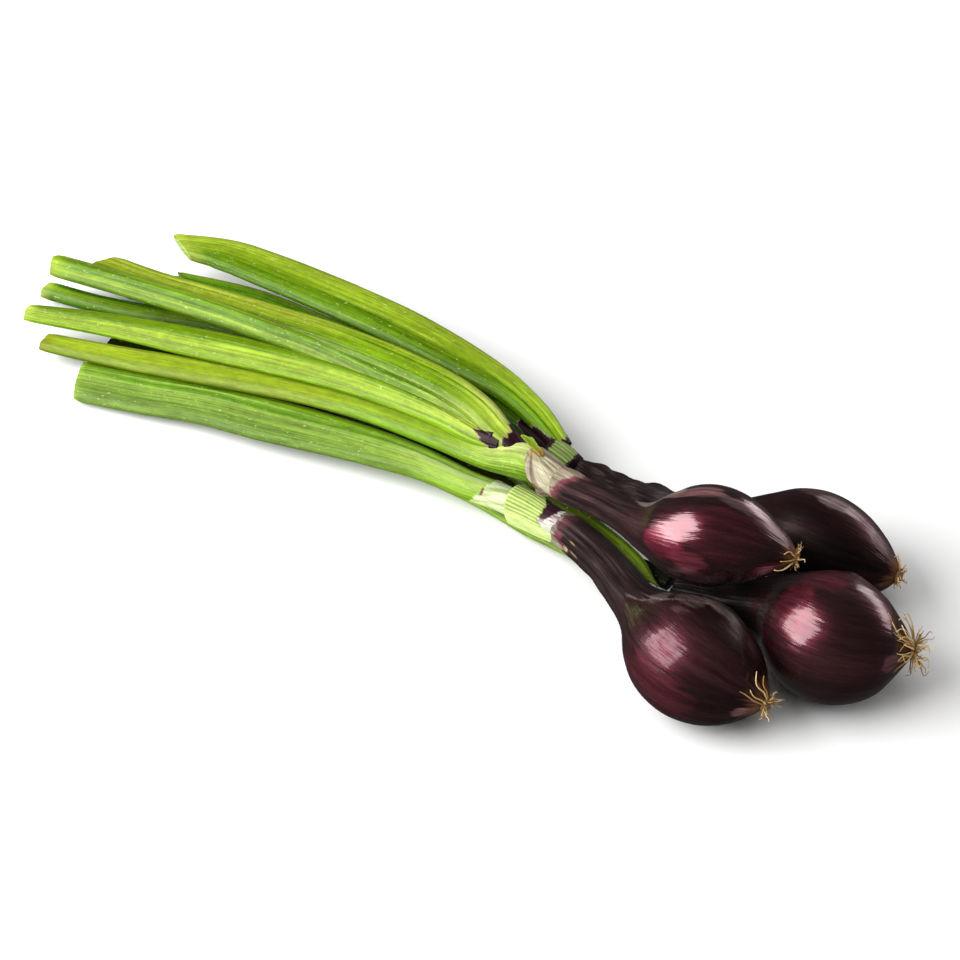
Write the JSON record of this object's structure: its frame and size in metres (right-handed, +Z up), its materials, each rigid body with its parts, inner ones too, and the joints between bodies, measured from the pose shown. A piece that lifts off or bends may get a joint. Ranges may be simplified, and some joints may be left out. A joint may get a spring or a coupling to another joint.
{
  "type": "spring onion bunch",
  "caption": "Bunch of red spring onions lying in a heap, with glossy dark bulbs, brown-purple necks, striped sheaths, short root tufts and long green leaves cut across.",
  "frame": {"origin": "at table level, under the middle of the bunch's bounding box", "axes": "+Z up, +X along the bunch towards the bulbs, -X towards the cut leaf ends, +Y towards the back"},
  "size_m": [0.3185, 0.113, 0.0559],
  "materials": {
    "onion_skin": "glossy, with fine lines along it",
    "striped_sheath": "satin, white with green stripes",
    "papery_sheath": "dry and papery",
    "leaf": "satin, striped along the blade",
    "pale_leaf": "satin",
    "deep_leaf": "satin",
    "root": "dry, matt"
  },
  "bodies": {
    "root": {"front_onion_bulb": "onion_skin", "top_onion_bulb": "onion_skin", "back_onion_bulb": "onion_skin", "right_onion_bulb": "onion_skin", "front_onion_collar": "striped_sheath", "top_onion_papery_sheath": "papery_sheath", "back_onion_sheath": "striped_sheath", "front_onion_wide_leaf": "leaf", "front_onion_low_leaf": "leaf", "top_onion_pale_leaf": "pale_leaf", "top_onion_back_leaf": "leaf", "top_onion_front_leaf": "leaf", "top_onion_middle_leaf": "leaf", "right_onion_upper_leaf": "deep_leaf", "right_onion_lower_leaf": "deep_leaf", "back_onion_low_leaf": "pale_leaf", "back_onion_middle_leaf": "deep_leaf", "back_onion_wide_leaf": "leaf", "front_onion_roots": "root", "top_onion_roots": "root", "back_onion_roots": "root", "right_onion_roots": "root"}
  },
  "joints": []
}
